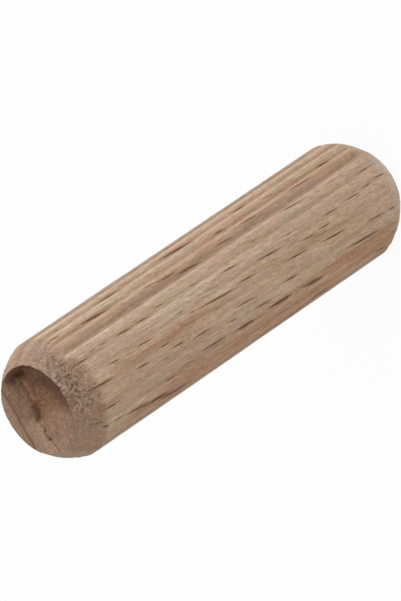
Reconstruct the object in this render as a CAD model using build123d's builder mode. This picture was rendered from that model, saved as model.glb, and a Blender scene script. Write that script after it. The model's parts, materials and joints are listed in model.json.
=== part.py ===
from build123d import *
import math
import os

# A fluted beech dowel pin that stands on its sawn end. The pin is one turned piece.
# Its other end is torn out: growth rings have split away below the old end face,
# so a stepped hollow is left, deep on the +X side and shallow on the -X side.
# Millimetres. +Z runs along the pin towards the torn end, and the origin is the
# middle of the sawn end.

# Drum
pin_diameter = 10.0
pin_length = 40.0

# Chamfer, the same on both ends
chamfer_length = 2.48  # along the pin
chamfer_inset = 1.45  # across the pin, from the drum to the end face
chamfer_crown = 0.15  # how far the chamfer bulges past one straight cone

# Flutes, pressed along the whole drum
flute_count = 24
flute_depth = 0.15
flute_root_radius = 0.3
flute_shoulder_radius = 0.3

# Mouth of the torn hollow
mouth_overlap = 0.05  # how far it breaks past the end face into the chamfer
mouth_shift_x = 0.1
mouth_shift_y = -0.1
mouth_wall_lean = 8.0  # degrees that the wall leans in on its way down

# Lip: the strip of old end face that is left on the +Y side, worn off outwards
lip_fall = 0.2  # from the lip's crest down to the rim

# Cross sections of the torn surface, each where it stands along X. Their corners are
# the lip's crest, the foot of the split wall, the crevice, the edge of the floor and
# the back of the floor. Each is how far in from the rim on the +Y side, then how deep.
# The rim's section and the deep one stand where the mouth ends.
rim_section = [(1.0, 0.0), (3.0, 0.1), (3.15, 0.2), (3.4, 0.1), (8.5, 0.08)]
shallow_station = -1.9
shallow_section = [(1.05, 0.0), (2.3, 0.42), (2.42, 0.72), (2.65, 0.5), (8.5, 0.75)]
middle_station = 0.0
middle_section = [(1.27, 0.0), (1.72, 1.2), (1.85, 1.6), (2.2, 1.5), (8.5, 2.0)]
deep_section = [(1.78, 0.0), (2.0, 1.45), (2.15, 1.95), (2.5, 2.1), (8.5, 3.0)]

# Room that a cutting form runs past the wood
overrun = 1.0

pin_radius = pin_diameter / 2
end_radius = pin_radius - chamfer_inset
mouth_radius = end_radius + mouth_overlap
mouth_reach = mouth_radius + abs(mouth_shift_x)


def torn_outline(section):
    """Corners, in Y and Z, of one cross section of all that is torn away."""
    above = pin_length + overrun
    surface = [(end_radius - inset, pin_length - depth) for inset, depth in section]
    return [(surface[0][0], above)] + surface + [(surface[-1][0], above)]


def lip_slope_outline(section):
    """Corners, in Y and Z, of one cross section of what is worn off outside the lip."""
    lip_inset = section[0][0]
    crest = end_radius - lip_inset
    fallen = pin_length - lip_fall / lip_inset * (pin_radius - crest)
    above = pin_length + overrun
    return [(crest, pin_length), (pin_radius, fallen), (pin_radius, above), (crest, above)]


# The waste outside both chamfers, turned about the pin's axis. The chamfer is two
# cones, the outer one steeper, which gives it its crown.
rim_point = Vector(end_radius, 0)
shoulder_point = Vector(pin_radius, chamfer_length)
chamfer_slope = (shoulder_point - rim_point).normalized()
crown_point = (rim_point + shoulder_point) / 2 + chamfer_slope.rotate(Axis.Z, -90) * chamfer_crown
with BuildPart() as chamfer_waste:
    with BuildSketch(Plane.XZ):
        with BuildLine():
            inner_cone = Line(rim_point, crown_point)
            outer_cone = Line(crown_point, shoulder_point)
            lead_in = Line(inner_cone @ 0 - (inner_cone % 0) * overrun, inner_cone @ 0)
            lead_out = Line(outer_cone @ 1, outer_cone @ 1 + (outer_cone % 1) * overrun)
            corner = Vector((lead_out @ 1).X, (lead_in @ 0).Y)
            Polyline(lead_out @ 1, corner, lead_in @ 0)
        make_face()
    revolve(axis=Axis.Z)
    mirror(about=Plane.XY.offset(pin_length / 2))

# What is torn out of the end, from the rim on the shallow side to the deep side
stations = [
    (-mouth_reach, rim_section),
    (shallow_station, shallow_section),
    (middle_station, middle_section),
    (mouth_reach, deep_section),
]
deepest = max(depth for station, section in stations for inset, depth in section)
plug_depth = deepest + overrun
wall_run = math.tan(math.radians(mouth_wall_lean))
with BuildPart() as torn_hollow:
    for station, section in stations:
        with BuildSketch(Plane.YZ.offset(station)):
            Polygon(*torn_outline(section), align=None)
    loft(ruled=True)
    with Locations((mouth_shift_x, mouth_shift_y, pin_length - plug_depth)):
        Cone(
            bottom_radius=mouth_radius - plug_depth * wall_run,
            top_radius=mouth_radius + overrun * wall_run,
            height=plug_depth + overrun,
            align=(Align.CENTER, Align.CENTER, Align.MIN),
            mode=Mode.INTERSECT,
        )

with BuildPart() as worn_lip:
    for station, section in stations:
        with BuildSketch(Plane.YZ.offset(station)):
            Polygon(*lip_slope_outline(section), align=None)
    loft(ruled=True)

with BuildPart() as dowel_pin:
    with BuildSketch(Plane.XY) as fluted_section:
        Circle(pin_radius)
        with PolarLocations(pin_radius + flute_root_radius - flute_depth, flute_count):
            Circle(flute_root_radius, mode=Mode.SUBTRACT)
        fillet(fluted_section.vertices(), radius=flute_shoulder_radius)
    extrude(amount=pin_length)
    add(chamfer_waste.part, mode=Mode.SUBTRACT)
    add(torn_hollow.part, mode=Mode.SUBTRACT)
    add(worn_lip.part, mode=Mode.SUBTRACT)

os.makedirs("parts", exist_ok=True)
dowel_pin.part.label = "dowel_pin"
export_step(dowel_pin.part, "parts/dowel_pin.step")
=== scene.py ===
import json
import math

import bmesh
import bpy
import numpy as np
from mathutils import Matrix, Vector


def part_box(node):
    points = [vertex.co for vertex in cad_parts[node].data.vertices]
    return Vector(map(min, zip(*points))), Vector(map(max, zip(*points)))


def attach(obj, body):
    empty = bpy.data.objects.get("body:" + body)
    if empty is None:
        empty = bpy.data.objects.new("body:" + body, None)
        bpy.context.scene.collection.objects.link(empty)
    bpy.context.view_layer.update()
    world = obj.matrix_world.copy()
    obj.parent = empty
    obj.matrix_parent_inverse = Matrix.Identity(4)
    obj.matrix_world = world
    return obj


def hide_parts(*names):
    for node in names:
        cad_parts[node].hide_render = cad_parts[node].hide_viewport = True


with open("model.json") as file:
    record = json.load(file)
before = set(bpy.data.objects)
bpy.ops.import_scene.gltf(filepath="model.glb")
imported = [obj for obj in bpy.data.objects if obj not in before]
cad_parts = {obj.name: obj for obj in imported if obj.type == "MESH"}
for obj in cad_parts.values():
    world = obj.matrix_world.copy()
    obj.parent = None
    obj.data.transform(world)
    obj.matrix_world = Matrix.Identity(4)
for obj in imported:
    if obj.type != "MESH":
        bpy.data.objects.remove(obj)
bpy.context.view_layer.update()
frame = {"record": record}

# A fluted beech dowel pin that stands on its sawn end, seen from over its torn end.
# Shapes are worked out in millimetres in the frame of the CAD model and written in metres.
# A turn is an angle round the pin, 0 in front (-Y) and growing towards +X. Heights run up from
# the sawn end, and depths run down from the torn one.

mm = 0.001
shank = next(m for m in frame["record"]["mounts"] if m["name"] == "shank")
pinRadius = shank["dims"]["r_mm"]
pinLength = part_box("dowel_pin")[1].z / mm
chamferLength = (pinLength - shank["dims"]["length_mm"]) / 2
finishNames = ("beechTurned", "beechTorn")


# Helpers for shapes

hashFactors = (374761393, 668265263, 1440662683, 974634777)  # large odd numbers
hashStir = 1274126177
hashMask = 0xFFFFFFFF


def latticeValue(ix, iy, iz, seed):  # one steady random value from 0 to 1 for each lattice point
    mixed = sum(number * factor for number, factor in zip((ix, iy, iz, seed), hashFactors)) & hashMask
    mixed = ((mixed ^ (mixed >> 13)) * hashStir) & hashMask
    return (mixed ^ (mixed >> 16)) / hashMask


def noiseAt(x, y, z, seed):  # smooth noise from -1 to 1 with bumps about one unit across
    x, y, z = np.broadcast_arrays(*(np.asarray(v, float) for v in (x, y, z)))
    corner = [np.floor(v) for v in (x, y, z)]
    share = [v - c for v, c in zip((x, y, z), corner)]
    eased = [s * s * (3 - 2 * s) for s in share]
    corner = [c.astype(np.int64) for c in corner]
    total = np.zeros(x.shape)
    for step in range(8):
        dx, dy, dz = step & 1, step >> 1 & 1, step >> 2 & 1
        weight = eased[0] if dx else 1 - eased[0]
        weight = weight * (eased[1] if dy else 1 - eased[1])
        weight = weight * (eased[2] if dz else 1 - eased[2])
        total += weight * latticeValue(corner[0] + dx, corner[1] + dy, corner[2] + dz, seed)
    return total * 2 - 1


def ease(value, low, high):  # 0 below low, 1 above high, smooth between
    t = np.clip((value - low) / (high - low), 0, 1)
    return t * t * (3 - 2 * t)


def hump(value, middle, width):  # 1 at the middle, near 0 two widths away
    return np.exp(-((value - middle) / width) ** 2)


def softMin(a, b, blend):  # the lower of two, with the corner between them rounded
    share = np.clip(0.5 + 0.5 * (b - a) / blend, 0, 1)
    return b * (1 - share) + a * share - blend * share * (1 - share)


def meshFrom(name, points, faces, slotIndex):  # points in millimetres
    mesh = bpy.data.meshes.new(name)
    mesh.from_pydata([tuple(p) for p in points], [], faces)
    for finish in finishNames:
        mesh.materials.append(bpy.data.materials.get(finish) or bpy.data.materials.new(finish))
    mesh.polygons.foreach_set("material_index", [slotIndex] * len(mesh.polygons))
    thing = bpy.data.objects.new(name, mesh)
    bpy.context.scene.collection.objects.link(thing)
    return thing


def gridFaces(rows, columns):  # quads between closed rows of points
    faces = []
    for row in range(rows - 1):
        for column in range(columns):
            after = (column + 1) % columns
            low, high = row * columns, (row + 1) * columns
            faces.append((low + column, low + after, high + after, high + column))
    return faces


def ringSolid(name, rings, middles, slotIndex):  # rings of points from the lowest up, closed at both ends
    rows, columns = rings.shape[:2]
    faces = gridFaces(rows, columns)
    bottom, top, last = rows * columns, rows * columns + 1, (rows - 1) * columns
    for column in range(columns):
        after = (column + 1) % columns
        faces.append((bottom, after, column))
        faces.append((top, last + column, last + after))
    return meshFrom(name, np.vstack([rings.reshape(-1, 3), middles]), faces, slotIndex)


# The pin's own form: drum, flutes and chamfers as in the CAD model, then the wear of real wood

pin = {
    "columnsPerFlute": 21,
    "drumRows": 86,
    "farChamferRows": 14,
    "nearChamferRows": 42,
    "capShares": (0.2, 0.4, 0.6, 0.78, 0.92),  # rings of the flat ends, as shares of their radius
    "flutes": 24,
    "fluteDepth": 0.15,
    # how deep each flute in front is pressed, as a share of that depth, from turn -75 to 75
    "pressed": (1.1, 0.70, 0.70, 0.60, 0.60, 0.60, 0.65, 1.20, 1.15, 1.30, 1.3),
    "pressedBehind": 0.9,
    "pressDrift": 0.12,     # how much the press changes along a flute
    "landCrown": 0.03,      # how much the lands between flutes fall away to their sides
    "rootRadius": 0.3,
    "shoulderRadius": 0.3,
    "chamferInset": 1.45,
    "chamferCrown": 0.15,
    "fuller": 0.08,         # extra wood on one side of each chamfer, and at which turns that is
    "fullerNear": 143,
    "fullerFar": 66,
    "fullerSpread": 24,
    "fullerFrom": 0.8,      # distance from the end at which it is whole
    "runOut": 0.45,         # how far up the drum the flutes reach the chamfer's border
    "edgeRound": 0.06,      # shoulder between drum and chamfer
    "fibreHeight": 0.010,   # ridges of the grain
    "waveHeight": 0.012,    # slow unevenness of the turned surface
    "endRoughness": 0.022,  # torn end grain of the chamfers
    "pitDepth": 0.11,       # torn-out bundles beside the mouth
    "pitTurns": (6, 24),    # middle and half extent of the turns that have most of them
    "pitStart": (2.0, 1.2),  # how far down from the end they set in and are thick
    "fleckHalfWidth": 0.070,
    "fleckReach": 0.27,     # how far beside its middle line a fleck can show
    "fleckTaper": 0.62,     # where a fleck has thinned out, as a share of its length from its middle
    "fleckSides": 0.42,     # flecks widen towards the sides, by 1 over this at the most
    "grainSlant": 0.07,     # how far the grain runs round the pin for each unit up it
    "backFlecks": {         # tried round the back, and the gap that two side by side keep
        "tries": 95,
        "turns": (84, 276),
        "heights": (3, 36),
        "lengths": (0.8, 3.4),
        "strengths": (0.5, 1.1),
        "gap": 1.0,
    },
    "seed": 7,
}
endRadius = pinRadius - pin["chamferInset"]

# Ray flecks that show in front: turn from the front in degrees, height, length, strength
frontFlecks = [
    (61, 13.7, 1.6, 0.5), (61.3, 21.2, 4.0, 0.75), (60.6, 29.1, 3.2, 0.7), (51, 37.1, 1.4, 0.8),
    (50.5, 26.0, 0.9, 0.4), (49.5, 11.6, 1.1, 0.5), (47.5, 17.8, 1.1, 0.6), (46.5, 32.8, 3.0, 1.0),
    (46, 5.1, 1.7, 0.8), (39.5, 8.7, 3.0, 1.0), (39.5, 27.0, 1.4, 0.9), (38.5, 15.1, 2.0, 1.0),
    (36.5, 25.3, 2.0, 1.0), (34, 18.8, 2.0, 0.8), (32, 23.1, 2.6, 0.9), (29.5, 8.4, 0.9, 0.3),
    (25.5, 11.4, 2.8, 0.7), (23.5, 6.4, 1.1, 0.3), (21, 17.6, 1.3, 0.4), (20, 21.5, 1.0, 0.3),
    (18, 36.0, 0.9, 0.5), (18, 16.5, 1.0, 0.3), (17.5, 34.8, 0.7, 0.5), (17.5, 28.1, 1.0, 0.7),
    (16, 32.4, 1.6, 1.0), (16, 24.1, 1.1, 0.6), (15.5, 30.2, 1.5, 0.7), (15.5, 3.1, 1.3, 0.8),
    (15.5, 2.0, 0.7, 0.4), (15, 37.5, 2.2, 1.0), (12.5, 38.9, 0.5, 0.8), (9.5, 20.4, 2.0, 1.0),
    (8.5, 22.4, 0.6, 0.3), (5.5, 13.5, 1.6, 0.4), (3, 2.1, 1.7, 0.9), (2, 4.0, 1.1, 0.7),
    (2, 26.9, 0.9, 0.4), (1, 5.8, 1.5, 0.8), (0.5, 8.5, 1.7, 0.7), (0, 16.2, 2.7, 1.1),
    (-1.5, 34.9, 1.4, 1.0), (-2.5, 33.6, 0.9, 0.4), (-2.5, 31.6, 1.8, 1.0), (-3.5, 26.0, 1.2, 0.5),
    (-3.5, 27.6, 0.5, 0.3), (-6.5, 23.0, 4.2, 1.2), (-6.5, 19.5, 2.0, 1.0), (-7, 12.0, 1.4, 0.8),
    (-7, 10.0, 1.3, 0.8), (-11.5, 37.2, 2.6, 1.3), (-14.5, 29.8, 1.3, 0.8), (-15, 13.8, 2.2, 1.0),
    (-15.5, 39.4, 0.4, 0.9), (-16.5, 5.7, 1.0, 0.3), (-18.5, 32.7, 1.4, 1.0), (-19, 9.5, 2.4, 1.2),
    (-21, 28.6, 1.3, 1.0), (-24, 20.5, 2.1, 1.0), (-25, 25.8, 1.9, 1.0), (-25, 30.4, 0.9, 0.4),
    (-27.5, 4.6, 2.0, 1.1), (-29.5, 2.5, 0.9, 0.8), (-30, 15.2, 1.9, 1.0), (-32, 22.4, 1.1, 0.6),
    (-33.5, 37.1, 1.7, 0.9), (-35.5, 18.8, 1.9, 1.0), (-39, 6.4, 4.0, 1.3), (-41.5, 24.6, 3.0, 1.4),
    (-43.5, 28.0, 1.7, 0.7), (-44.5, 38.5, 1.4, 0.6), (-45, 21.1, 2.4, 1.6), (-45, 16.8, 2.7, 1.7),
    (-46.5, 30.1, 1.2, 0.6), (-48, 12.7, 2.2, 1.5), (-50.5, 36.3, 1.1, 0.8), (-50.5, 37.7, 0.5, 1.0),
    (-53, 2.4, 1.2, 0.6), (-54, 34.0, 2.4, 1.4), (-60.5, 31.9, 3.0, 1.5), (-66, 29.2, 4.0, 1.5),
    (-67, 3.8, 1.6, 1.1), (-70, 11.3, 3.2, 1.3), (-73.5, 21.8, 1.5, 1.5),
]

# Bands of colour: turn in degrees, height, half of each extent, and tone, which is above 0
# for russet and below 0 for pale
toneBands = [
    (35, 5, 5, 6, 0.7), (35, 14, 5, 4, 0.8), (47, 17, 5, 6, 0.4), (36, 24, 5, 5, 0.8),
    (35, 32, 5, 5, 0.9), (47, 8, 4, 5, 0.3), (47, 28, 4, 6, 0.2), (47, 35, 4, 4, 0.2),
    (61, 20, 3, 22, 0.2), (-10, 29, 4, 7, 1.0), (-10, 12, 4, 7, 0.4), (-18, 15, 5, 5, 0.5),
    (-48, 7, 7, 5, 0.9), (-58, 18, 10, 8, 0.9), (-66, 30, 10, 7, 1.0), (-43, 11, 5, 4, 0.6),
    (-60, 4, 10, 6, 0.9), (-50, 26, 8, 9, 0.6), (-70, 14, 8, 8, 1.0), (-35, 30, 6, 8, 0.3),
    (53, 20, 3, 22, -0.5), (68, 20, 4, 22, -0.2), (22, 14, 7, 10, -0.5), (8, 30, 10, 9, -0.5),
    (8, 14, 8, 9, -0.35), (-1, 6, 4, 3, -0.8), (-31, 18, 6, 9, -0.2), (26, 30, 3, 9, -0.9),
    (26, 10, 3, 10, -0.7), (38, 37.9, 4, 0.35, 0.7), (80, 38.6, 10, 0.7, 0.8), (60, 39.4, 8, 0.5, 0.7),
    (-75, 38.4, 12, 1, 0.7), (95, 38.6, 10, 0.9, 0.7), (-38, 38.2, 6, 0.5, 0.6), (-62, 39.3, 9, 0.4, 0.6),
    (-22, 37.6, 4, 0.5, 0.5), (8, 37.7, 3, 0.6, -0.6),
]

# Bands of painted shade, which only darken: turn, height, half of each extent, and strength
shadeBands = [
    (36, 20, 4.3, 40, 0.90), (51, 20, 4.0, 40, 0.72), (65, 20, 3.5, 40, 0.42), (80, 20, 3.8, 40, 1.10),
    (-79, 20, 6, 40, 0.65), (-55, 20, 4, 40, 0.25), (-10, 20, 3.5, 40, 0.25),
    (36, 40, 22, 1.5, 0.62), (-25, 40, 40, 1.5, 0.20), (25, 39.3, 12, 0.5, 0.70), (85, 40, 24, 1.5, 0.25),
    (38.5, 37.8, 4, 0.3, 1.0), (60, 38.9, 10, 0.6, 0.4),
]


def bandSum(bands, degrees, height):  # all the bands of one list together
    total = np.zeros(len(height))
    for bandTurn, bandHeight, halfTurn, halfHeight, strength in bands:
        total += strength * hump(degrees, bandTurn, halfTurn) * hump(height, bandHeight, halfHeight)
    return total


def allFlecks():  # the ones in front, and as many to the area round the back
    random = np.random.default_rng(pin["seed"])
    behind, back = [], pin["backFlecks"]
    for attempt in range(back["tries"]):
        turn, height = random.uniform(*back["turns"]), random.uniform(*back["heights"])
        length, strength = random.uniform(*back["lengths"]), random.uniform(*back["strengths"])
        crossed = [other for other in behind if abs(height - other[1]) < length + other[2]
                   and math.radians(abs(turn - other[0])) * pinRadius < back["gap"]]
        if not crossed:
            behind.append((turn, height, length, strength))
    return frontFlecks + behind


def fleckFields(turn, height):  # signed distance across the nearest fleck, and how far inside its length
    across = np.full(turn.shape, 1.0)
    inside = np.full(turn.shape, -2.0)
    for fleckTurn, fleckHeight, length, strength in allFlecks():
        up = height - fleckHeight
        around = turn - math.radians(fleckTurn)
        around = (around + math.pi) % (2 * math.pi) - math.pi
        off = around * pinRadius - pin["grainSlant"] * up
        # rays show wider towards the sides
        off = off * max(abs(math.cos(math.radians(fleckTurn))), pin["fleckSides"])
        off = off / (0.5 + 0.5 * strength)
        near = (np.abs(up) < length) & (np.abs(off) < pin["fleckReach"])
        near = near & (np.abs(off) < np.abs(across) + 0.02)
        across = np.where(near, off, across)
        taper = 1 - np.abs(up / (length * pin["fleckTaper"])) ** 1.6
        inside = np.where(near, taper * (0.45 + 0.55 * strength), inside)
    return across, inside


def fluteRadius(angle):  # radius of the fluted drum, in the arcs of the CAD section
    pitch = 2 * math.pi / pin["flutes"]
    rootRadius, shoulderRadius = pin["rootRadius"], pin["shoulderRadius"]
    rootCentre = pinRadius + rootRadius - pin["fluteDepth"]
    shoulderCentre = pinRadius - shoulderRadius
    reach = rootRadius + shoulderRadius
    cosine = (rootCentre ** 2 + shoulderCentre ** 2 - reach ** 2) / (2 * rootCentre * shoulderCentre)
    landEdge = math.acos(cosine)
    meetX = rootCentre + (shoulderCentre * math.cos(landEdge) - rootCentre) * rootRadius / reach
    meetY = shoulderCentre * math.sin(landEdge) * rootRadius / reach
    rootEdge = math.atan2(meetY, meetX)
    away = np.abs((angle + pitch / 2) % pitch - pitch / 2)
    rootSpan = np.maximum(rootRadius ** 2 - (rootCentre * np.sin(away)) ** 2, 0)
    root = rootCentre * np.cos(away) - np.sqrt(rootSpan)
    fromShoulder = away - landEdge
    shoulderSpan = np.maximum(shoulderRadius ** 2 - (shoulderCentre * np.sin(fromShoulder)) ** 2, 0)
    shoulder = shoulderCentre * np.cos(fromShoulder) + np.sqrt(shoulderSpan)
    return np.where(away < rootEdge, root, np.where(away < landEdge, shoulder, pinRadius))


def chamferRadius(height):  # radius of either chamfer, each of two cones
    fromEnd = np.minimum(height, pinLength - height)
    slant = math.hypot(chamferLength, pin["chamferInset"])
    crownHeight = chamferLength / 2 - pin["chamferCrown"] * pin["chamferInset"] / slant
    crownRadius = (endRadius + pinRadius) / 2 + pin["chamferCrown"] * chamferLength / slant
    inner = endRadius + (crownRadius - endRadius) * fromEnd / crownHeight
    outer = crownRadius + (pinRadius - crownRadius) * (fromEnd - crownHeight) / (chamferLength - crownHeight)
    return softMin(inner, outer, pin["edgeRound"])


def drumRadius(turn, height):  # fluted drum, each flute pressed a little more or less deep
    pitch = 2 * math.pi / pin["flutes"]
    flute = fluteRadius(turn)
    index = np.round(np.arctan2(np.sin(turn), np.cos(turn)) / pitch)
    inFront = len(pin["pressed"]) // 2
    behind = pin["pressedBehind"]
    press = np.interp(index, range(-inFront, inFront + 1), pin["pressed"], left=behind, right=behind)
    press = press + pin["pressDrift"] * noiseAt(index * 3.7, 0, height / 9, 3)
    fromLand = (turn % pitch) / pitch * 2 - 1
    return pinRadius - (pinRadius - flute) * press - pin["landCrown"] * fromLand ** 2


def fullerChamfer(turn, height):  # how much more wood is left on one side of each chamfer
    middle = np.where(height > pinLength / 2, pin["fullerNear"], pin["fullerFar"])
    fromEnd = np.minimum(height, pinLength - height)
    extra = pin["fuller"] * hump(np.degrees(turn), middle, pin["fullerSpread"])
    return extra * ease(fromEnd, 0, pin["fullerFrom"])


def pitField(x, y, height):  # 1 in the pits of the chamfers, thick beside the mouth in front
    turn = np.degrees(np.arctan2(x, -y))
    few, thick = (pinLength - down for down in pin["pitStart"])
    beside = hump(turn, *pin["pitTurns"]) * ease(height, few, thick)
    rim = ease(pinLength - height, 0.05, 0.4)
    pits = noiseAt(x / 0.17, y / 0.17, height / 0.25, 16)
    pits = pits + 0.35 * noiseAt(x / 0.08, y / 0.08, height / 0.1, 17)
    return ease(pits + 0.45 * beside, 0.58, 0.9) * (0.3 + 0.7 * beside) * rim


def pinSurface(turn, height):  # radius of the worn surface
    x, y = np.sin(turn), -np.cos(turn)
    drum = drumRadius(turn, height)
    cone = chamferRadius(height) + fullerChamfer(turn, height)
    base = softMin(drum, cone, pin["edgeRound"])
    wave = noiseAt(x * 3.1, y * 3.1, height / 6, 11) * pin["waveHeight"]
    slanted = turn * pinRadius - pin["grainSlant"] * height
    fibre = noiseAt(x * 31, y * 31 - pin["grainSlant"] * height * 6, height / 3.5, 12)
    fibre = fibre + 0.5 * noiseAt(slanted / 0.09, 0, height / 2, 13)
    onChamfer = ease(drum - cone, -0.05, 0.12)
    x, y = x * base, y * base
    grit = noiseAt(x / 0.16, y / 0.16, height / 0.3, 14)
    grit = grit + 0.6 * noiseAt(x / 0.09, y / 0.09, height / 0.16, 15)
    smooth = fibre * pin["fibreHeight"] - np.abs(wave)
    rough = grit * pin["endRoughness"] - pitField(x, y, height) * pin["pitDepth"]
    return base + smooth * (1 - onChamfer) + rough * onChamfer


def buildPin():
    columns = pin["flutes"] * pin["columnsPerFlute"]
    turns = np.arange(columns) * 2 * math.pi / columns
    border = chamferLength + pin["runOut"]
    lower = np.linspace(0, border, pin["farChamferRows"], endpoint=False)
    middle = np.linspace(border, pinLength - border, pin["drumRows"], endpoint=False)
    upper = np.linspace(pinLength - border, pinLength, pin["nearChamferRows"])
    heights = np.concatenate([lower, middle, upper])
    turnGrid, heightGrid = np.meshgrid(turns, heights)
    radius = pinSurface(turnGrid, heightGrid)
    side = np.stack([radius * np.sin(turnGrid), -radius * np.cos(turnGrid), heightGrid], 2)
    rings = [side[0] * (share, share, 1) for share in pin["capShares"]]  # from the sawn end's middle out
    rings.extend(side)
    rings.extend(side[-1] * (share, share, 1) for share in reversed(pin["capShares"]))
    return ringSolid("beechPin", np.array(rings), [(0, 0, 0), (0, 0, pinLength)], 0)


# The torn end: the same cross sections as in the CAD model, then splintered

tear = {
    "sections": [  # where each stands along X, then how far in from the rim on the +Y side and how deep
        (-3.7, [(1.0, 0.0), (3.0, 0.1), (3.15, 0.2), (3.4, 0.1), (8.5, 0.08)]),
        (-1.9, [(1.05, 0.0), (2.3, 0.42), (2.42, 0.72), (2.65, 0.5), (8.5, 0.75)]),
        (0.0, [(1.27, 0.0), (1.72, 1.2), (1.85, 1.6), (2.2, 1.5), (8.5, 2.0)]),
        (3.7, [(1.78, 0.0), (2.0, 1.45), (2.15, 1.95), (2.5, 2.1), (8.5, 3.0)]),
    ],
    "lipFall": 0.2,
    "overrun": 0.3,                    # how far the torn surface runs past the sections
    "rows": 122,                       # along X
    "stretches": (26, 42, 10, 9, 62),  # columns on the lip's slope, wall, crevice, its far edge and floor
    "floorEnd": 0.3,                   # how far inside the drum's front the floor stops
    "mouthRadius": 3.6,
    "mouthShift": (0.1, -0.1),
    "mouthLean": 8.0,
    "mouthTop": (0.8, 0.4, 0.1),       # rings of the mouth over the end
    "mouthDepth": 3.4,                 # how far down the mouth's wall goes
    "mouthBulge": 0.12,                # how much wider the mouth is towards +X
    "mouthColumns": 300,
    "mouthRows": 44,
    "lipTurns": (29, 139),             # where the lip reaches the rim, in degrees from +X
    "lipReach": 0.35,                  # how far inside the drum the mouth runs over the lip
    "lipBlend": 0.06,                  # half the turn in which its wall swings out there, in radians
    "rimRagged": (0.025, 0.012),       # coarse and fine, as the next two
    "crestRagged": (0.06, 0.03),
    "bundles": (0.09, 0.035),          # ends of fibres on the floor
    "crestWear": 0.03,
    "wallFibres": (0.06, 0.03),        # thick and thin ones
    "footRagged": 0.14,
    "steepens": (-2.5, 2.0),           # X where the break is shallow and where it is deep
    "creviceFill": (0.34, 0.17),       # how much shallower the crevice is towards +X and towards -X
    "creviceSpan": (-1.4, -1.0, 0.35, 0.95),  # X where it is filled, opens, begins to fill, and is filled
    "ledge": (-0.25, 0.14, 0.16),      # Y, half its width, and its height
    "floorGrit": 0.018,
    "splinterY": 1.0,
    "splinterSpan": (0.5, 1.0, 2.5, 2.9),  # X where it starts, is whole, begins to fall, and ends
    "splinter": (0.16, 0.45),          # half its width, and its height
    "pocket": (3.1, 0.42, 0.22, 0.25),  # X, half its width, and how far it goes into the wall and down
    "ridge": (-0.8, -0.55, 0.10),      # X where it begins to fall and where it ends, and its height
    "lump": (-0.86, 0.26, 0.50),       # X, half its width, and its height
    "hole": (-2.25, 0.1, 0.35),        # X, half its width, and its depth
    "crackOut": 0.12,                  # how far outside the lip's crest the crack runs
    "crackDepth": 0.20,
    "crackWidth": 0.125,
    "crackEnds": (2.6, 3.3),           # X, on both sides, where it begins to close and is closed
    "blockTop": 1.2,                   # how far what is cut away reaches over the end
    # middle of the border of the shade on the floor, in X and Y
    "shade": [(-2.2, -2.8), (-1.1, -1.7), (-0.5, -1.05), (1.2, -0.25), (2.8, 1.0)],
    "seed": 40,
}
places = [place for place, corners in tear["sections"]]
cornerTables = np.moveaxis([corners for place, corners in tear["sections"]], 2, 0)  # insets, then depths


def sectionAt(x):  # y and depth of the torn surface's corners at one place or more along X
    inset, depth = ([np.interp(x, places, column) for column in table.T] for table in cornerTables)
    return [endRadius - i for i in inset], depth


def lipWobble(x):  # how ragged the lip's crest is
    coarse, fine = tear["crestRagged"]
    return coarse * noiseAt(x / 0.55, 0, 0, tear["seed"]) + fine * noiseAt(x / 0.17, 0, 0, tear["seed"] + 1)


def splinterLine(x):  # Y of the splinter that stands on the floor
    return tear["splinterY"] + 0.02 * (x - 1) + 0.05 * noiseAt(x / 0.5, 0, 0, tear["seed"] + 12)


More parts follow.
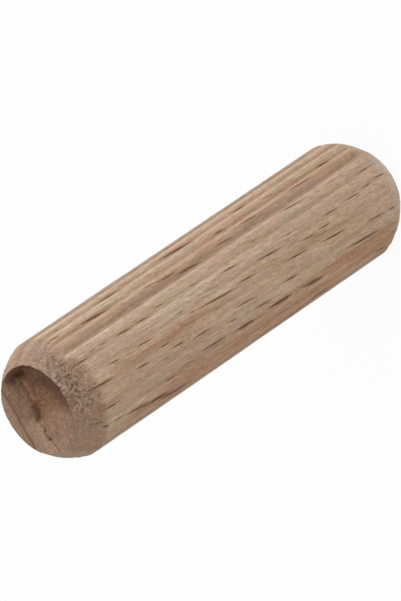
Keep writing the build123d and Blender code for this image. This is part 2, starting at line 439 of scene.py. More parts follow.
def tornSurface():
    seed = tear["seed"]
    reach = places[-1] + tear["overrun"]
    rowPlaces = np.linspace(-reach, reach, tear["rows"])
    columns = []
    for part, count in enumerate(tear["stretches"]):
        shares = np.linspace(0, 1, count, endpoint=False)
        if part == 0:
            shares = 1 - (1 - shares) ** 2  # closer together towards the crest
        columns += [(part, share) for share in shares]
    part, share = np.array(columns).T
    part, share = part[None, :].astype(int), share[None, :]
    x = rowPlaces[:, None] + 0 * share
    cornerY, cornerDepth = sectionAt(rowPlaces)
    fall = tear["lipFall"] / (endRadius - cornerY[0])
    chainY = np.stack([pinRadius + 0 * rowPlaces] + cornerY, 1)
    chainY[:, -1] = -pinRadius + tear["floorEnd"]
    chainDepth = np.stack([fall * (pinRadius - cornerY[0])] + cornerDepth, 1)
    part = part + 0 * x.astype(int)
    along = part + share  # 1 at the crest, 2 at the wall's foot, 3 in the crevice, 4 at the floor's edge
    startY, endY = np.take_along_axis(chainY, part, 1), np.take_along_axis(chainY, part + 1, 1)
    startDepth = np.take_along_axis(chainDepth, part, 1)
    endDepth = np.take_along_axis(chainDepth, part + 1, 1)
    y = startY + (endY - startY) * share
    depth = startDepth + (endDepth - startDepth) * share
    onSlope, onWall, inCrevice, onEdge, onFloor = (part == i for i in range(5))
    steep = ease(x, *tear["steepens"])
    # ragged crest
    follow = np.where(onSlope, ease(share, 0.4, 1), 1) * np.where(onFloor, 1 - ease(share, 0, 0.3), 1)
    y = y + lipWobble(x) * follow
    wear = tear["crestWear"]
    depth = depth + hump(along, 1, 0.12) * (wear + wear * noiseAt(x / 0.13, 0, 0, seed + 2))
    # split wall: long fibres and a few thick splinters
    thick, thin = tear["wallFibres"]
    strip = noiseAt(x / 0.42, 0, depth / 2.4, seed + 3) * thick
    strip = strip + noiseAt(x / 0.15, 0, depth / 1.1, seed + 4) * thin
    y = y + np.where(onWall, np.sin(math.pi * share), 0) * strip
    # broken foot of the wall
    ragged = noiseAt(x / 0.3, along, 0, seed + 5)
    depth = depth + np.where(inCrevice | onEdge, ragged * tear["footRagged"], 0) * (0.4 + 0.6 * steep)
    fillDeep, fillShallow = tear["creviceFill"]
    filled, opens, fills, full = tear["creviceSpan"]
    depth = depth - fillDeep * ease(x, fills, full) * hump(along, 3.05, 0.75)
    depth = depth - fillShallow * (1 - ease(x, filled, opens)) * hump(along, 3.0, 0.6)
    # floor of end grain, broken in low ledges along the growth rings
    coarse, fine = tear["bundles"]
    bundles = noiseAt(x / 0.7, y / 0.34, 0, seed + 6) * coarse
    bundles = bundles + noiseAt(x / 0.25, y / 0.15, 0, seed + 7) * fine
    ledgeY, ledgeWidth, ledgeHeight = tear["ledge"]
    ledge = hump(y + 0.1 * x, ledgeY + 0.1 * noiseAt(x / 0.8, 0, 0, seed + 8), ledgeWidth)
    broken = (bundles + ledgeHeight * ledge) * ease(share, 0, 0.08) * (0.35 + 0.65 * steep)
    depth = depth + np.where(onFloor, broken, 0)
    depth = depth + noiseAt(x / 0.1, y / 0.08, depth / 0.4, seed + 9) * tear["floorGrit"]
    # a splinter that stands on the floor beside the crevice, towards +X
    splinterWidth, splinterHeight = tear["splinter"]
    start, whole, falls, end = tear["splinterSpan"]
    splinter = hump(y, splinterLine(x), splinterWidth) * ease(x, start, whole) * (1 - ease(x, falls, end))
    depth = depth - splinterHeight * splinter * ease(along, 3.2, 4.0)
    # a pocket in the wall beside the mouth's rim
    pocketPlace, pocketWidth, intoWall, down = tear["pocket"]
    pocket = hump(x, pocketPlace, pocketWidth) * hump(along, 1.95, 0.45)
    y = y + intoWall * pocket
    depth = depth + down * pocket
    # a lump and a low ridge left standing at the wall's foot, and a small hole beyond them
    falls, end, ridgeHeight = tear["ridge"]
    lumpPlace, lumpWidth, lumpHeight = tear["lump"]
    holePlace, holeWidth, holeDepth = tear["hole"]
    depth = depth - ridgeHeight * (1 - ease(x, falls, end)) * hump(along, 2.3, 0.6)
    depth = depth - lumpHeight * hump(x, lumpPlace, lumpWidth) * hump(along, 2.85, 0.5)
    depth = depth + holeDepth * hump(x, holePlace, holeWidth) * hump(along, 3.0, 0.5)
    # the crack along the lip
    fromCrest = y - (np.take_along_axis(chainY, part * 0 + 1, 1) + lipWobble(x))
    crack = hump(fromCrest, tear["crackOut"], tear["crackWidth"])
    crack = crack * (0.75 + 0.25 * noiseAt(x / 0.4, 0, 0, seed + 10))
    crack = crack * (1 - ease(np.abs(x), *tear["crackEnds"]))
    depth = depth + np.where(onSlope, tear["crackDepth"] * crack, 0)
    depth = np.maximum(depth, 0.004)
    return np.stack([x, y, pinLength - depth], 2)


def buildTear():  # a block over the torn surface
    sheet = tornSurface()
    rows, columns = sheet.shape[:2]
    faces = []
    for row in range(rows - 1):
        for column in range(columns - 1):
            a = row * columns + column
            faces.append((a, a + columns, a + columns + 1, a + 1))
    edge = [(row, 0) for row in range(rows)]
    edge += [(rows - 1, column) for column in range(1, columns)]
    edge += [(row, columns - 1) for row in range(rows - 2, -1, -1)]
    edge += [(0, column) for column in range(columns - 2, 0, -1)]
    ring = [row * columns + column for row, column in edge]
    points = sheet.reshape(-1, 3)
    above = points[ring].copy()
    above[:, 2] = pinLength + tear["blockTop"]
    first, size = len(points), len(ring)
    for here in range(size):
        after = (here + 1) % size
        faces.append((ring[here], first + here, first + after, ring[after]))
    faces.append(tuple(first + i for i in reversed(range(size))))
    return meshFrom("tornOut", np.vstack([points, above]), faces, 1)


def buildMouth():  # the round mouth that bounds the tear, wide over the lip
    count = tear["mouthColumns"]
    highest, higher, high = (pinLength + rise for rise in tear["mouthTop"])
    levels = np.linspace(high, pinLength - tear["mouthDepth"], tear["mouthRows"])
    levels = np.concatenate([[highest, higher], levels])
    angles = np.arange(count) * 2 * math.pi / count
    angle, level = np.meshgrid(angles, levels)
    start, end = (math.radians(a) for a in tear["lipTurns"])
    blend = tear["lipBlend"]
    overLip = ease(angle, start - blend, start + blend) * (1 - ease(angle, end - blend, end + blend))
    radius = tear["mouthRadius"] + (level - pinLength) * math.tan(math.radians(tear["mouthLean"]))
    coarse, fine = tear["rimRagged"]
    rim = noiseAt(np.cos(angle) * 9, np.sin(angle) * 9, level / 1.5, tear["seed"] + 20) * coarse
    rim = rim + noiseAt(np.cos(angle) * 26, np.sin(angle) * 26, level, tear["seed"] + 21) * fine
    radius = radius + rim + tear["mouthBulge"] * hump(np.cos(angle), 1, 0.3)
    radius = radius * (1 - overLip) + (pinRadius - tear["lipReach"]) * overLip
    shiftX, shiftY = tear["mouthShift"]
    points = np.stack([shiftX + radius * np.cos(angle), shiftY + radius * np.sin(angle), level], 2)
    middles = [(shiftX, shiftY, levels[-1]), (shiftX, shiftY, levels[0])]
    return ringSolid("mouthPlug", points[::-1], middles, 1)


def cutWith(target, tool, how):  # exact boolean, applied
    change = target.modifiers.new(how, "BOOLEAN")
    change.operation = how
    change.solver = "EXACT"
    change.object = tool
    bpy.context.view_layer.update()
    depsgraph = bpy.context.evaluated_depsgraph_get()
    done = bpy.data.meshes.new_from_object(target.evaluated_get(depsgraph))
    target.modifiers.clear()
    old = target.data
    target.data = done
    bpy.data.meshes.remove(old)
    bpy.data.objects.remove(tool)
    return target


meshFinish = {
    "weld": 0.004,    # points closer than this become one
    "sliver": 0.002,  # edges and faces smaller than this go
    "sharp": 50,      # edges that bend by more degrees than this stay sharp
}


def tidyMesh(thing):  # welds what a cut left double and counts what isn't closed
    work = bmesh.new()
    work.from_mesh(thing.data)
    bmesh.ops.remove_doubles(work, verts=work.verts, dist=meshFinish["weld"])
    bmesh.ops.dissolve_degenerate(work, edges=work.edges, dist=meshFinish["sliver"])
    loose = [v for v in work.verts if not v.link_faces]
    bmesh.ops.delete(work, geom=loose, context="VERTS")
    bmesh.ops.triangulate(work, faces=work.faces)
    seen, doubled = {}, []
    for face in work.faces:  # two faces back to back close nothing in
        corners = frozenset(face.verts)
        if corners in seen:
            doubled += [face, seen[corners]]
        seen[corners] = face
    bmesh.ops.delete(work, geom=doubled, context="FACES")
    openEdges = [e for e in work.edges if len(e.link_faces) != 2]
    work.to_mesh(thing.data)
    work.free()
    print("open edges", len(openEdges), "loose points", len(loose))


# Where the materials change on the turned surface
pinLook = {
    # middle and width of a hump
    "endRiseTurn": (34, 12),
    "roughTurn": (-8, 42),
    "speckledTurn": (10, 36),
    "rimTurn": (28, 24),
    "rimOut": (0.13, 0.09),     # out from the mouth
    "farPaleTurn": (0, 90),
    # start and end
    "speckledHeights": (37.3, 39.2),
    "farSideTurns": (5, 34),
    # others
    "endRise": 0.3,             # how much higher the end grain reaches round its turn
    "farPaleHeight": 1.9,
}

# Where they change in the hollow and on the lip, along X where the name says nothing else
tornLook = {
    # middle and width of a hump
    "dullWall": ((-1.7, 1.1), (-2.45, 0.5)),
    "pocket": (3.15, 0.36),
    "pocketY": (1.42, 0.40),
    "lump": (-0.88, 0.24),
    "footDarkest": (-0.2, 0.55),
    # start and end
    "deep": (-2.6, 2.0),
    "shadeDepths": (0.35, 0.8),
    "shadeFades": (1.5, 2.6),
    "besideWall": (2.8, 3.5),   # from the middle of the mouth
    "besideWallFades": (1.4, 2.8),
    "pocketDepths": (0.6, 1.2),
    "split": (-1.0, -0.5),
    "ochre": (1.5, 2.6),
    "ochreDepths": (0.6, 1.6),
    # where shade at the foot and the splinter's colour start, are whole, begin to fade, and end
    "foot": (-1.0, -0.6, 2.8, 3.3),
    "splinter": (0.5, 1.0, 2.4, 2.9),
    # others
    "shadeReach": 3.9,          # from the middle of the mouth
    "shadeBorder": (0.6, 0.7),  # how far shade fades, on both sides of its border
    "besideWallY": 1.2,         # shade beside the wall stays below this
    "splinterWidth": 0.17,
    "footWidth": 0.16,
}


def fromMouth(x, y):  # distance from the middle of the mouth
    return np.hypot(x - tear["mouthShift"][0], y - tear["mouthShift"][1])


def pinMarks(x, y, z):  # what the materials read on the turned surface
    turn = np.arctan2(x, -y)
    degrees = np.degrees(turn)
    across, inside = fleckFields(turn, z)
    drum, cone = drumRadius(turn, z), chamferRadius(z)
    border = 0.07 * noiseAt(turn * 5, 0, 0, 30) + 0.08 * noiseAt(turn * 22, 0, z * 2, 31)
    flat = ease(endRadius - np.hypot(x, y), 0, 0.1)  # 1 on the flat ends
    higher = pinLook["endRise"] * hump(degrees, *pinLook["endRiseTurn"])
    endGrain = np.maximum(ease(pinRadius - cone - higher + border, -0.14, 0.16), flat)
    nearEnd = z > pinLength / 2
    rougher = 0.85 + 0.15 * hump(degrees, *pinLook["roughTurn"]) + 0.2 * noiseAt(turn * 3, 0, z / 2, 32)
    speckled = 0.3 + 0.7 * hump(degrees, *pinLook["speckledTurn"]) * ease(z, *pinLook["speckledHeights"])
    rimOut, rimWidth = pinLook["rimOut"]
    rimEdge = hump(fromMouth(x, y), tear["mouthRadius"] + rimOut, rimWidth)
    rimEdge = rimEdge * hump(degrees, *pinLook["rimTurn"])
    # painted light on the far chamfer, fading out up from the sawn end
    farPale = np.clip(1.15 - z / pinLook["farPaleHeight"] + 2 * border, 0, 1)
    return {
        "fleckAcross": across,
        "fleckInside": inside,
        "endGrain": endGrain * np.where(nearEnd, np.clip(rougher, 0, 1), 0.08 + 0.75 * flat),
        "fluteFoot": ease(pinRadius - drum, 0.04, 0.15) * (1 - ease(drum - cone, 0, 0.05)),
        "speckled": np.where(nearEnd, speckled, 0.5) * (1 - 0.5 * flat),
        "rimEdge": rimEdge * (pinLength - z < 0.6) * nearEnd,
        "farPale": farPale * (1 - flat) * (0.3 + 0.7 * hump(degrees, *pinLook["farPaleTurn"])),
        "farSide": ease(degrees, *pinLook["farSideTurns"]),
        "pit": pitField(x, y, z) * ease(drum - cone, 0.02, 0.1),
        "band": bandSum(toneBands, degrees, z),
        "dull": np.clip(bandSum(shadeBands, degrees, z), 0, 1),
    }


def tornMarks(x, y, z):  # what the materials read in the hollow and on the lip
    look = tornLook
    cornerY = sectionAt(x)[0]
    fromCrest = y - cornerY[0] - lipWobble(x)
    depth = pinLength - z
    fromMiddle = fromMouth(x, y)
    # shade in the hollow: under the near rim, beside the mouth's wall, in the pocket and at the foot
    shadeY = np.interp(x, *zip(*tear["shade"])) + 0.12 * noiseAt(x / 0.6, 0, 0, 33)
    inHollow = ease(depth, *look["shadeDepths"]) * (fromMiddle < look["shadeReach"])
    before, after = look["shadeBorder"]
    underRim = (1 - ease(y, shadeY - before, shadeY + after)) * inHollow
    underRim = underRim * (1 - 0.9 * ease(x, *look["shadeFades"]))
    besideWall = ease(fromMiddle, *look["besideWall"]) * inHollow * (y < look["besideWallY"])
    besideWall = besideWall * (1 - 0.6 * ease(x, *look["besideWallFades"]))
    underRim = np.maximum(underRim, 0.6 * besideWall)
    pocket = hump(x, *look["pocket"]) * hump(y, *look["pocketY"]) * ease(depth, *look["pocketDepths"])
    footWidth = look["footWidth"]
    start, whole, fades, end = look["foot"]
    footY = cornerY[2] - 0.03 + 0.16 * (1 - ease(x, -0.6, -0.2))
    foot = hump(y, footY, footWidth) * ease(x, start, whole) * (1 - ease(x, fades, end))
    foot = foot * (0.1 + 0.9 * hump(x, *look["footDarkest"])) * ease(depth, 0.6, 0.9)
    # what stands or gapes at the wall's foot
    sunk = depth > 0.05
    lump = hump(x, *look["lump"]) * hump(y, cornerY[2], footWidth) * sunk
    start, whole, fades, end = look["splinter"]
    splinter = hump(y, splinterLine(x), look["splinterWidth"]) * ease(x, start, whole)
    splinter = splinter * (1 - ease(x, fades, end)) * (depth > 0.6)
    split = hump(y, cornerY[2] - 0.03, 0.045) * (1 - ease(x, *look["split"]))
    split = split * (0.6 + 0.3 * noiseAt(x / 0.3, 0, 0, 34))
    hole = hump(x, tear["hole"][0], 0.12) * hump(y, cornerY[2], footWidth)
    return {
        "deep": ease(x + 0.25 * y, *look["deep"]) * ease(depth, 0.3, 0.7),
        "dullWall": 0.4 * hump(x, *look["dullWall"][0]) + 0.3 * hump(x, *look["dullWall"][1]),
        "crack": hump(fromCrest, tear["crackOut"], tear["crackWidth"] * 1.2),
        "outside": ease(fromCrest, -0.02, 0.06),
        "tornWall": ease(y - np.where(x < -0.8, cornerY[2], cornerY[1]), -0.15, 0.1),
        "dark": np.clip(0.85 * underRim + pocket + foot, 0, 1),
        "split": np.maximum(split, hole) * sunk,
        "lump": lump,
        "splinter": splinter,
        "ochre": ease(x, *look["ochre"]) * (1 - ease(depth, *look["ochreDepths"])) * hump(depth, 0.7, 0.8),
    }


def markMesh(thing):  # keeps both sets of marks at the mesh's points
    mesh = thing.data
    co = np.zeros(len(mesh.vertices) * 3)
    mesh.vertices.foreach_get("co", co)
    x, y, z = co.reshape(-1, 3).T
    for name, values in {**pinMarks(x, y, z), **tornMarks(x, y, z)}.items():
        mark = mesh.attributes.new(name, "FLOAT", "POINT")
        mark.data.foreach_set("value", np.asarray(values, np.float32))


def toMetres(thing):
    thing.data.transform(Matrix.Scale(mm, 4))
    thing.data.polygons.foreach_set("use_smooth", [True] * len(thing.data.polygons))
    thing.data.set_sharp_from_angle(angle=math.radians(meshFinish["sharp"]))


body = buildPin()
print("pin body", len(body.data.vertices), "points")
torn = cutWith(buildTear(), buildMouth(), "INTERSECT")
print("torn part", len(torn.data.polygons), "faces")
body = cutWith(body, torn, "DIFFERENCE")
tidyMesh(body)
markMesh(body)
toMetres(body)
triangles = sum(len(p.vertices) - 2 for p in body.data.polygons)
print("pin mesh", len(body.data.vertices), "points", triangles, "triangles",
      [m.name for m in body.data.materials])
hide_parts("dowel_pin")
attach(body, "root")


# Materials

def tint(red, green, blue):  # a colour in the 0 to 255 steps of a screen, made linear
    linear = []
    for step in (red, green, blue):
        value = step / 255
        linear.append(value / 12.92 if value <= 0.04045 else ((value + 0.055) / 1.055) ** 2.4)
    return (*linear, 1)


class Value:  # a socket of a node, so that shader maths reads as sums
    def __init__(self, paint, socket):
        self.paint = paint
        self.socket = socket

    def maths(self, operation, *inputs):
        return self.paint.node("ShaderNodeMath", {"operation": operation}, dict(enumerate(inputs)))

    def __add__(self, other):
        return self.maths("ADD", self, other)

    def __radd__(self, other):
        return self.maths("ADD", other, self)

    def __sub__(self, other):
        return self.maths("SUBTRACT", self, other)

    def __rsub__(self, other):
        return self.maths("SUBTRACT", other, self)

    def __mul__(self, other):
        return self.maths("MULTIPLY", self, other)

    def __rmul__(self, other):
        return self.maths("MULTIPLY", other, self)

    def __truediv__(self, other):
        return self.maths("DIVIDE", self, other)

    def __rtruediv__(self, other):
        return self.maths("DIVIDE", other, self)

    def __abs__(self):
        return self.maths("ABSOLUTE", self)

    def bigger(self, other):
        return self.maths("MAXIMUM", self, other)

    def smaller(self, other):
        return self.maths("MINIMUM", self, other)

    def ramp(self, low, high, start=0, end=1):  # from start at low to end at high, eased
        limits = {"Value": self, "From Min": low, "From Max": high, "To Min": start, "To Max": end}
        return self.paint.node("ShaderNodeMapRange", {"interpolation_type": "SMOOTHSTEP"}, limits)


class Paint:  # the nodes of one material or of the world
    def __init__(self, owner):
        owner.use_nodes = True
        self.tree = owner.node_tree
        self.tree.nodes.clear()

    def node(self, kind, settings=None, sockets=None, out=0):
        made = self.tree.nodes.new(kind)
        for name, value in (settings or {}).items():
            setattr(made, name, value)
        for name, value in (sockets or {}).items():
            if isinstance(value, Value):
                self.tree.links.new(value.socket, made.inputs[name])
            else:
                made.inputs[name].default_value = value
        return Value(self, made.outputs[out]) if len(made.outputs) else None

    def mix(self, share, a, b, how="MIX"):  # two colours
        return self.node("ShaderNodeMix", {"data_type": "RGBA", "blend_type": how}, {0: share, 6: a, 7: b}, 2)

    def mark(self, name):  # a value kept at the mesh's points
        return self.node("ShaderNodeAttribute", {"attribute_name": name}, out="Fac")

    def noise(self, place, scale, detail, roughness):
        sockets = {"Vector": place, "Scale": scale, "Detail": detail, "Roughness": roughness}
        return self.node("ShaderNodeTexNoise", {}, sockets, "Fac")

    def stretched(self, place, factors):  # place times one factor for each axis
        return self.node("ShaderNodeVectorMath", {"operation": "MULTIPLY"}, {0: place, 1: factors})


beech = {
    "tan": tint(187, 157, 127),
    "pale": tint(205, 184, 164),
    "grey": tint(180, 154, 130),
    "russet": tint(174, 128, 90),
    "rosy": tint(189, 149, 130),
    "straw": tint(184, 161, 122),
    "fleck": tint(98, 60, 36),
    "pore": tint(132, 98, 72),
    "endGrain": tint(158, 128, 104),
    "endWarm": tint(162, 116, 84),
    "endOlive": tint(150, 130, 94),
    "endRosy": tint(158, 122, 108),
    "endDark": tint(92, 65, 46),
    # painted light on the far chamfer, pale in front and greyer towards +X
    "farPale": tint(224, 215, 205),
    "farGrey": tint(180, 168, 154),
    "wall": tint(164, 134, 110),
    "wallOchre": tint(182, 152, 116),
    # floor tones from pale to deep; the deep one darker as painted shade
    "floorPale": tint(146, 113, 90),
    "floorWarm": tint(138, 98, 68),
    "floorDeep": tint(126, 88, 62),
    "splinter": tint(172, 127, 97),
    "lumpPale": tint(198, 160, 142),
    "crack": tint(112, 66, 42),
    "tornDark": tint(84, 52, 34),
    "lipEdge": tint(148, 116, 92),
    "roughness": (0.55, 0.75),  # of the turned surface, and the second is the torn wood's too
    "relief": (0.025, 0.04),    # of the turned and the torn surface, in millimetres
    "bump": 0.7,
}


# Layers of noise: how fine along X, Y and Z, detail and roughness
grainLayers = {
    "broad": ((0.6, 0.6, 0.05), 2, 0.5),
    "streak": ((2.6, 2.6, 0.2), 3, 0.6),
    "lines": ((5, 5, 0.12), 2, 0.6),
    "fine": ((8, 8, 0.5), 3, 0.65),
    "mottle": ((7, 7, 2.0), 3, 0.7),
    "hairs": ((14, 14, 0.5), 1, 0.5),
    "pores": ((9, 9, 1.4), 2, 0.6),
    "hue": ((1.6, 1.6, 0.5), 2, 0.6),
    "ragged": ((12, 12, 1.6), 2, 0.5),
    "tornFibres": ((2.2, 7, 7), 3, 0.65),
    "tornBlotch": ((1.2, 2.2, 1.5), 2, 0.5),
    "tornHue": ((2.4, 4.2, 2.8), 2, 0.65),
}


def pinPlace(paint):  # place in millimetres
    place = paint.node("ShaderNodeTexCoord", out="Object")
    return paint.node("ShaderNodeVectorMath", {"operation": "SCALE"}, {0: place, "Scale": 1 / mm})


def alongGrain(paint, place):  # place sheared so that the grain leans as on the pin
    parts = paint.node("ShaderNodeSeparateXYZ", {}, {0: place})
    x, y, z = (Value(paint, parts.socket.node.outputs[i]) for i in range(3))
    return paint.node("ShaderNodeCombineXYZ", {}, {0: x - z * pin["grainSlant"], 1: y, 2: z})


def grainNoise(paint, place, name):  # one of the layers above
    fineness, detail, roughness = grainLayers[name]
    return paint.noise(paint.stretched(place, fineness), 1.0, detail, roughness)


def shaded(paint, colour, shade):  # a colour made lighter or darker
    grey = paint.node("ShaderNodeCombineColor", {}, {0: shade, 1: shade, 2: shade})
    return paint.mix(1.0, colour, grey, "MULTIPLY")


def finishSurface(paint, colour, rough, height, relief):  # relief in millimetres
    sockets = {"Strength": beech["bump"], "Distance": relief * mm, "Height": height}
    bump = paint.node("ShaderNodeBump", {}, sockets)
    sockets = {"Base Color": colour, "Roughness": rough, "Normal": bump}
    shader = paint.node("ShaderNodeBsdfPrincipled", {}, sockets)
    paint.node("ShaderNodeOutputMaterial", {}, {"Surface": shader})


def paintTurned(material):
    paint = Paint(material)
    place = pinPlace(paint)
    grain = alongGrain(paint, place)
    names = ("broad", "streak", "lines", "fine", "mottle", "hairs", "pores", "hue", "ragged")
    layers = (grainNoise(paint, grain, name) for name in names)
    broad, streak, lines, fine, mottle, hairs, pores, hue, ragged = layers
    band = paint.mark("band")
    warm = (streak - 0.5) * 1.5 + (broad - 0.5) * 0.8 + band * 0.55
    colour = paint.mix(warm.ramp(0.02, 0.5), beech["tan"], beech["russet"])
    colour = paint.mix(warm.ramp(-0.02, -0.5) * 0.8, colour, beech["pale"])
    colour = paint.mix(broad.ramp(0.45, 0.62) * 0.6, colour, beech["grey"])
    # painted light: the far chamfer pale in front and greyer towards +X
    farLightColour = paint.mix(paint.mark("farSide") * 0.8, beech["farPale"], beech["farGrey"])
    colour = paint.mix(paint.mark("farPale") * 0.8, colour, farLightColour)
    colour = shaded(paint, colour, fine.ramp(0.28, 0.72, 0.84, 1.12))
    colour = shaded(paint, colour, lines.ramp(0.3, 0.7, 0.93, 1.06))
    colour = shaded(paint, colour, mottle.ramp(0.28, 0.72, 0.79, 1.18))
    colour = paint.mix(hairs.ramp(0.58, 0.70) * 0.35, colour, beech["pale"])
    colour = paint.mix(hairs.ramp(0.40, 0.28) * 0.4, colour, beech["pore"])
    colour = paint.mix(pores.ramp(0.56, 0.70) * 0.42, colour, beech["pore"])
    colour = paint.mix(pores.ramp(0.42, 0.30) * 0.30, colour, beech["pale"])
    rosyShare = 0.52 - band.ramp(0.4, 1.0) * 0.32  # less of it on the russet bands
    strawShare = 0.36 - band.ramp(0.1, 0.7) * 0.26
    colour = paint.mix(hue.ramp(0.49, 0.65) * rosyShare, colour, beech["rosy"])
    colour = paint.mix(hue.ramp(0.47, 0.34) * strawShare, colour, beech["straw"])
    # the flutes' valleys a little more russet, and darker as painted shade
    foot = paint.mark("fluteFoot")
    colour = paint.mix(foot * 0.10, colour, beech["russet"])
    colour = shaded(paint, colour, foot.ramp(0, 1, 1.0, 0.92))
    # end grain of the chamfers and the sawn end
    speck = paint.noise(place, 4.6, 4, 0.75)
    dots = paint.noise(place, 9.0, 2, 0.6)
    patch = paint.noise(place, 1.1, 2, 0.6)
    speckled = paint.mark("speckled")
    speckShade = paint.mix(speck.ramp(0.34, 0.60), beech["endDark"], beech["endGrain"])
    endColour = paint.mix(speckled * 0.5 + 0.4, beech["endGrain"], speckShade)
    endColour = paint.mix(patch.ramp(0.50, 0.66) * 0.6, endColour, beech["endWarm"])
    endColour = paint.mix(patch.ramp(0.46, 0.34) * 0.35, endColour, beech["endOlive"])
    endColour = paint.mix(hue.ramp(0.50, 0.64) * 0.4, endColour, beech["endRosy"])
    endColour = shaded(paint, endColour, mottle.ramp(0.3, 0.7, 0.88, 1.10))
    grit = paint.noise(place, 2.3, 3, 0.6)
    endColour = shaded(paint, endColour, grit.ramp(0.32, 0.68, 0.83, 1.15))
    endColour = paint.mix(band.ramp(0.3, 1.0) * 0.7, endColour, beech["endWarm"])
    endColour = paint.mix(speck.ramp(0.54, 0.70) * (speckled * 0.45 + 0.2), endColour, beech["pale"])
    endColour = paint.mix(dots.ramp(0.58, 0.68) * (speckled * 0.5 + 0.2), endColour, beech["endDark"])
    endShare = paint.mark("endGrain")
    colour = paint.mix(endShare * 0.95, colour, endColour)
    # painted shade: darker in the shade bands, long ones beside the flutes and short ones on the near chamfer
    colour = shaded(paint, colour, paint.mark("dull").ramp(0, 1, 1.0, 0.75))
    colour = paint.mix(paint.mark("rimEdge") * speck.ramp(0.4, 0.6) * 0.6, colour, beech["rosy"])
    # ray flecks
    ragged = ragged - 0.5
    across = abs(paint.mark("fleckAcross") + ragged * 0.05 + endShare * (speck - 0.5) * 0.15)
    fleck = paint.mark("fleckInside") + ragged * 0.7 - across / pin["fleckHalfWidth"]
    fleckShare = fleck.ramp(-0.4, 0.7)
    colour = paint.mix(fleck.ramp(-1.6, 0.1) * 0.35, colour, beech["russet"])
    colour = paint.mix(fleckShare * 0.95, colour, beech["fleck"])
    colour = paint.mix(paint.mark("pit") * 0.75, colour, beech["tornDark"])
    rough = fine.ramp(0.3, 0.7, *beech["roughness"])
    height = fine * 0.6 + mottle * 0.5 + hairs * 0.4 + endShare * speck * 1.5 - fleckShare * 0.8
    finishSurface(paint, colour, rough, height, beech["relief"][0])


def paintTorn(material):
    paint = Paint(material)
    place = pinPlace(paint)
    outside = paint.mark("outside")
    fibres = grainNoise(paint, place, "tornFibres")
    blotch = grainNoise(paint, place, "tornBlotch")
    hue = grainNoise(paint, place, "tornHue")
    speck = paint.noise(place, 6.0, 3, 0.7)
    # the floor warmer and, as painted shade, darker towards its deep side
    deep = paint.mark("deep")
    floorColour = paint.mix(deep.ramp(0, 0.55), beech["floorPale"], beech["floorWarm"])
    floorColour = paint.mix(deep.ramp(0.45, 1), floorColour, beech["floorDeep"])
    floorColour = paint.mix(blotch.ramp(0.42, 0.66) * 0.45, floorColour, beech["floorWarm"])
    floorColour = paint.mix(fibres.ramp(0.56, 0.72) * 0.35, floorColour, beech["wall"])
    knots = paint.noise(place, 2.0, 2, 0.6)
    shallow = 1 - deep.ramp(0.2, 0.8)
    floorColour = paint.mix(knots.ramp(0.52, 0.66) * shallow * 0.3, floorColour, beech["rosy"])
    floorColour = paint.mix(knots.ramp(0.44, 0.32) * 0.35, floorColour, beech["endWarm"])
    # painted light: the wall's upper part towards +X lighter and yellower
    wallColour = paint.mix(paint.mark("ochre") * 0.6, beech["wall"], beech["wallOchre"])
    wallColour = paint.mix(blotch.ramp(0.45, 0.65) * 0.25, wallColour, beech["endWarm"])
    colour = paint.mix(paint.mark("tornWall"), floorColour, wallColour)
    colour = paint.mix(outside * 0.8, colour, beech["lipEdge"])
    colour = shaded(paint, colour, fibres.ramp(0.3, 0.7, 0.79, 1.12))
    colour = paint.mix(hue.ramp(0.52, 0.66) * 0.40, colour, beech["rosy"])
    colour = paint.mix(hue.ramp(0.46, 0.34) * 0.40, colour, beech["endOlive"])
    grit = paint.noise(place, 4.4, 3, 0.7)
    colour = shaded(paint, colour, grit.ramp(0.32, 0.68, 0.86, 1.10))
    # painted light: the lump pale and pinkish
    colour = paint.mix(paint.mark("lump") * 0.8, colour, beech["lumpPale"])
    colour = paint.mix(speck.ramp(0.56, 0.7) * 0.3, colour, beech["endDark"])
    # painted shade in the hollow: under the near rim, beside the mouth's wall, in the pocket and at the
    # wall's foot
    dark = paint.mark("dark") * blotch.ramp(0.3, 0.6, 0.78, 1.0)
    colour = paint.mix(dark * 0.9, colour, beech["tornDark"])
    colour = paint.mix(paint.mark("splinter") * 0.85, colour, beech["splinter"])
    colour = paint.mix(paint.mark("crack") * 0.6, colour, beech["crack"])
    colour = paint.mix(paint.mark("split") * 0.85, colour, beech["tornDark"])
    # painted shade on the wall's low part towards -X; the lip's outer band a little darker too
    darkening = (outside * 0.28).bigger(paint.mark("dullWall"))
    colour = shaded(paint, colour, darkening.ramp(0, 1, 1.0, 0.75))
    finishSurface(paint, colour, beech["roughness"][1], fibres + speck * 0.6, beech["relief"][1])


paintTurned(bpy.data.materials["beechTurned"])
paintTorn(bpy.data.materials["beechTorn"])
print("materials painted")


# Floor, light and camera

stageLook = {
    "floorHalfWidth": 2.0,
    "floorColour": tint(248, 248, 248),
    "whiteShare": 0.93,       # how much of the floor the camera sees as plain white
    "worldStrength": 0.64,
    "lamps": {                # direction, distance, side, power and colour of each soft lamp
        "softKey": ((0.95, 0.20, 0.25), 0.5, 0.22, 0.97, (0.94, 0.98, 1.04)),
        "softFill": ((0.78, -0.50, 0.45), 0.6, 1.0, 2.1, (1.0, 1.0, 1.0)),
    },
}


def seenPlain(paint):  # 1 for rays from the camera and for what gloss and glass reflect
    rays = paint.node("ShaderNodeLightPath")
    camera, glossy, through = (Value(paint, rays.socket.node.outputs[name])
                               for name in ("Is Camera Ray", "Is Glossy Ray", "Is Transmission Ray"))
    return (camera + glossy + through).smaller(1.0)


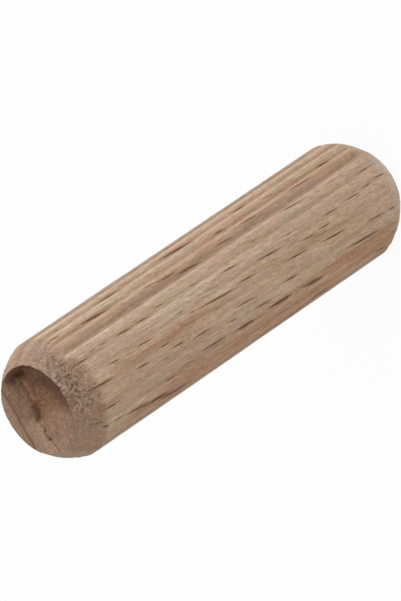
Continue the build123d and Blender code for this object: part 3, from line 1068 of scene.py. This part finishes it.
def buildFloor():
    half = stageLook["floorHalfWidth"]
    mesh = bpy.data.meshes.new("floor")
    corners = [(-half, -half, 0), (half, -half, 0), (half, half, 0), (-half, half, 0)]
    mesh.from_pydata(corners, [], [(0, 1, 2, 3)])
    floor = bpy.data.objects.new("floor", mesh)
    bpy.context.scene.collection.objects.link(floor)
    material = bpy.data.materials.new("paleFloor")
    mesh.materials.append(material)
    paint = Paint(material)
    matt = paint.node("ShaderNodeBsdfDiffuse", {}, {"Color": stageLook["floorColour"]})
    white = paint.node("ShaderNodeEmission", {}, {"Color": (1, 1, 1, 1), "Strength": 1.0})
    share = seenPlain(paint) * stageLook["whiteShare"]
    both = paint.node("ShaderNodeMixShader", {}, {0: share, 1: matt, 2: white})
    paint.node("ShaderNodeOutputMaterial", {}, {"Surface": both})


def lightScene():
    world = bpy.data.worlds.new("studio")
    bpy.context.scene.world = world
    paint = Paint(world)
    strength = seenPlain(paint).ramp(0, 1, stageLook["worldStrength"], 1.0)
    background = paint.node("ShaderNodeBackground", {}, {"Color": (1, 1, 1, 1), "Strength": strength})
    paint.node("ShaderNodeOutputWorld", {}, {"Surface": background})
    for name, (towards, distance, side, power, colour) in stageLook["lamps"].items():
        data = bpy.data.lights.new(name, "AREA")
        data.shape = "SQUARE"
        data.size = side
        data.energy = power
        data.color = colour
        lamp = bpy.data.objects.new(name, data)
        bpy.context.scene.collection.objects.link(lamp)
        away = Vector(towards).normalized()
        lamp.location = away * distance + Vector((0, 0, pinLength * mm / 2))
        lamp.rotation_mode = "QUATERNION"
        lamp.rotation_quaternion = (-away).to_track_quat("-Z", "Y")
        lamp.visible_camera = False


view = {
    "elevation": 40.09,    # camera above the pin's middle, in degrees
    "roll": 34.232,        # how far the pin leans over in the picture
    "distance": 601.18,
    "aside": -0.2929,      # the picture's middle from the pin's middle, to the right and up
    "above": -0.1542,
    "lens": 467.13,
    "sensor": 36,
    "clip": (0.01, 100),   # metres
}


def placeCamera():
    elevation, roll = math.radians(view["elevation"]), math.radians(view["roll"])
    back = Vector((0, -math.cos(elevation), math.sin(elevation)))
    level = Vector((1, 0, 0))
    upright = back.cross(level)
    right = -math.sin(roll) * level - math.cos(roll) * upright
    up = back.cross(right)
    data = bpy.data.cameras.new("camera")
    data.lens = view["lens"]
    data.sensor_width = view["sensor"]
    data.clip_start, data.clip_end = view["clip"]
    camera = bpy.data.objects.new("camera", data)
    bpy.context.scene.collection.objects.link(camera)
    middle = Vector((0, 0, pinLength / 2))
    spot = (middle + back * view["distance"] + right * view["aside"] + up * view["above"]) * mm
    turned = Matrix((right, up, back)).transposed().to_4x4()
    camera.matrix_world = Matrix.Translation(spot) @ turned
    bpy.context.scene.camera = camera


buildFloor()
lightScene()
placeCamera()
bpy.context.scene.view_settings.view_transform = "Standard"
print("stage ready")
